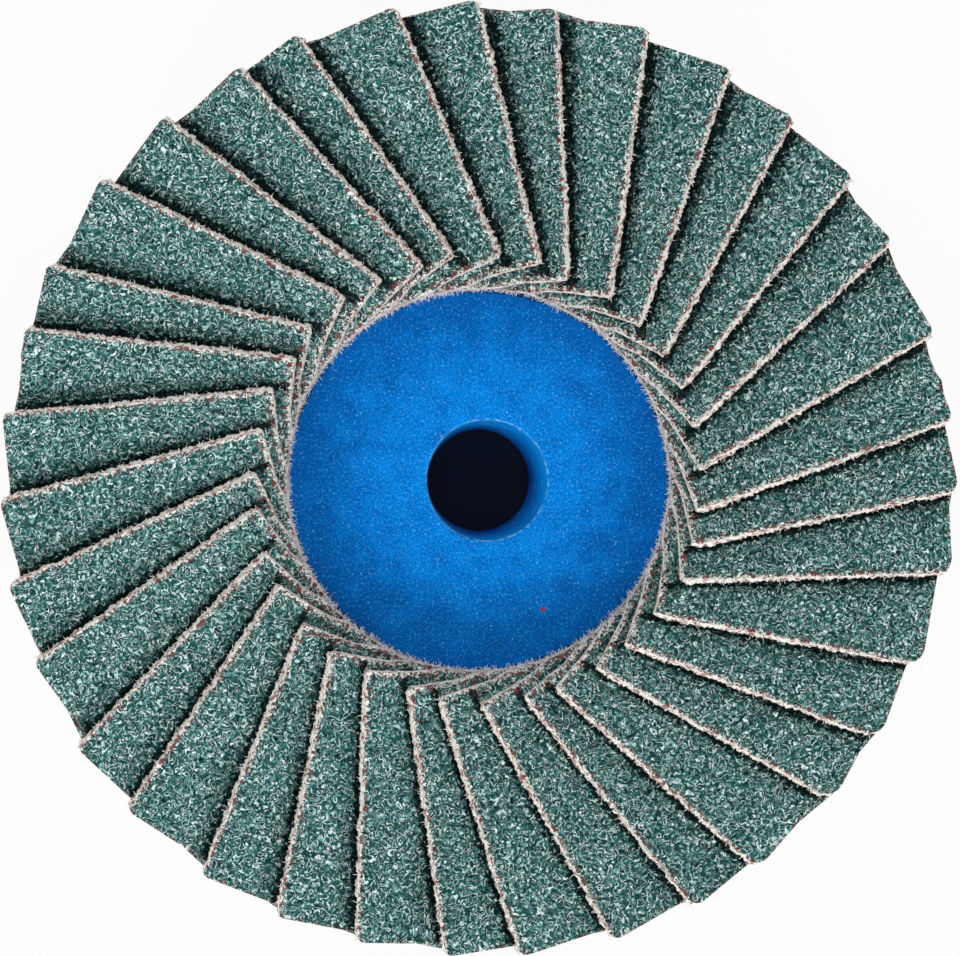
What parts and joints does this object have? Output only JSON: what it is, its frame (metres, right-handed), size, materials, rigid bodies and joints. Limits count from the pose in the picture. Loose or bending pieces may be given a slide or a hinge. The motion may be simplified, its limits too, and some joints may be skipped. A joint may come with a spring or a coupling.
{
  "type": "flap disc",
  "caption": "Small abrasive flap disc: overlapping coated-cloth flaps bonded to a blue moulded hub with a threaded insert at the back.",
  "frame": {"origin": "centre of the hub boss's flat back face, on the spin axis", "axes": "+Z along the spin axis, out of the working side; +Y lies 2.7 degrees clockwise of the first flap, and the well's mouth is shifted about 0.46 mm towards +X"},
  "size_m": [0.0495, 0.0495, 0.0134],
  "materials": {
    "abrasive_cloth": "teal abrasive grain in resin on cream cotton and polyester cloth, matt and gritty",
    "blue_plastic": "satin moulded plastic, glossier in the well",
    "blackened_steel": "black oxide, lightly worn",
    "resin": "set adhesive, amber brown, uneven"
  },
  "bodies": {
    "root": {"flap_01": "abrasive_cloth", "flap_02": "abrasive_cloth", "flap_03": "abrasive_cloth", "flap_04": "abrasive_cloth", "flap_05": "abrasive_cloth", "flap_06": "abrasive_cloth", "flap_07": "abrasive_cloth", "flap_08": "abrasive_cloth", "flap_09": "abrasive_cloth", "flap_10": "abrasive_cloth", "flap_11": "abrasive_cloth", "flap_12": "abrasive_cloth", "flap_13": "abrasive_cloth", "flap_14": "abrasive_cloth", "flap_15": "abrasive_cloth", "flap_16": "abrasive_cloth", "flap_17": "abrasive_cloth", "flap_18": "abrasive_cloth", "flap_19": "abrasive_cloth", "flap_20": "abrasive_cloth", "flap_21": "abrasive_cloth", "flap_22": "abrasive_cloth", "flap_23": "abrasive_cloth", "flap_24": "abrasive_cloth", "flap_25": "abrasive_cloth", "flap_26": "abrasive_cloth", "flap_27": "abrasive_cloth", "flap_28": "abrasive_cloth", "flap_29": "abrasive_cloth", "flap_30": "abrasive_cloth", "flap_31": "abrasive_cloth", "flap_32": "abrasive_cloth", "flap_33": "abrasive_cloth", "flap_34": "abrasive_cloth", "flap_35": "abrasive_cloth", "backing_plate": "blue_plastic", "threaded_insert": "blackened_steel", "adhesive_ring": "resin"}
  },
  "joints": []
}
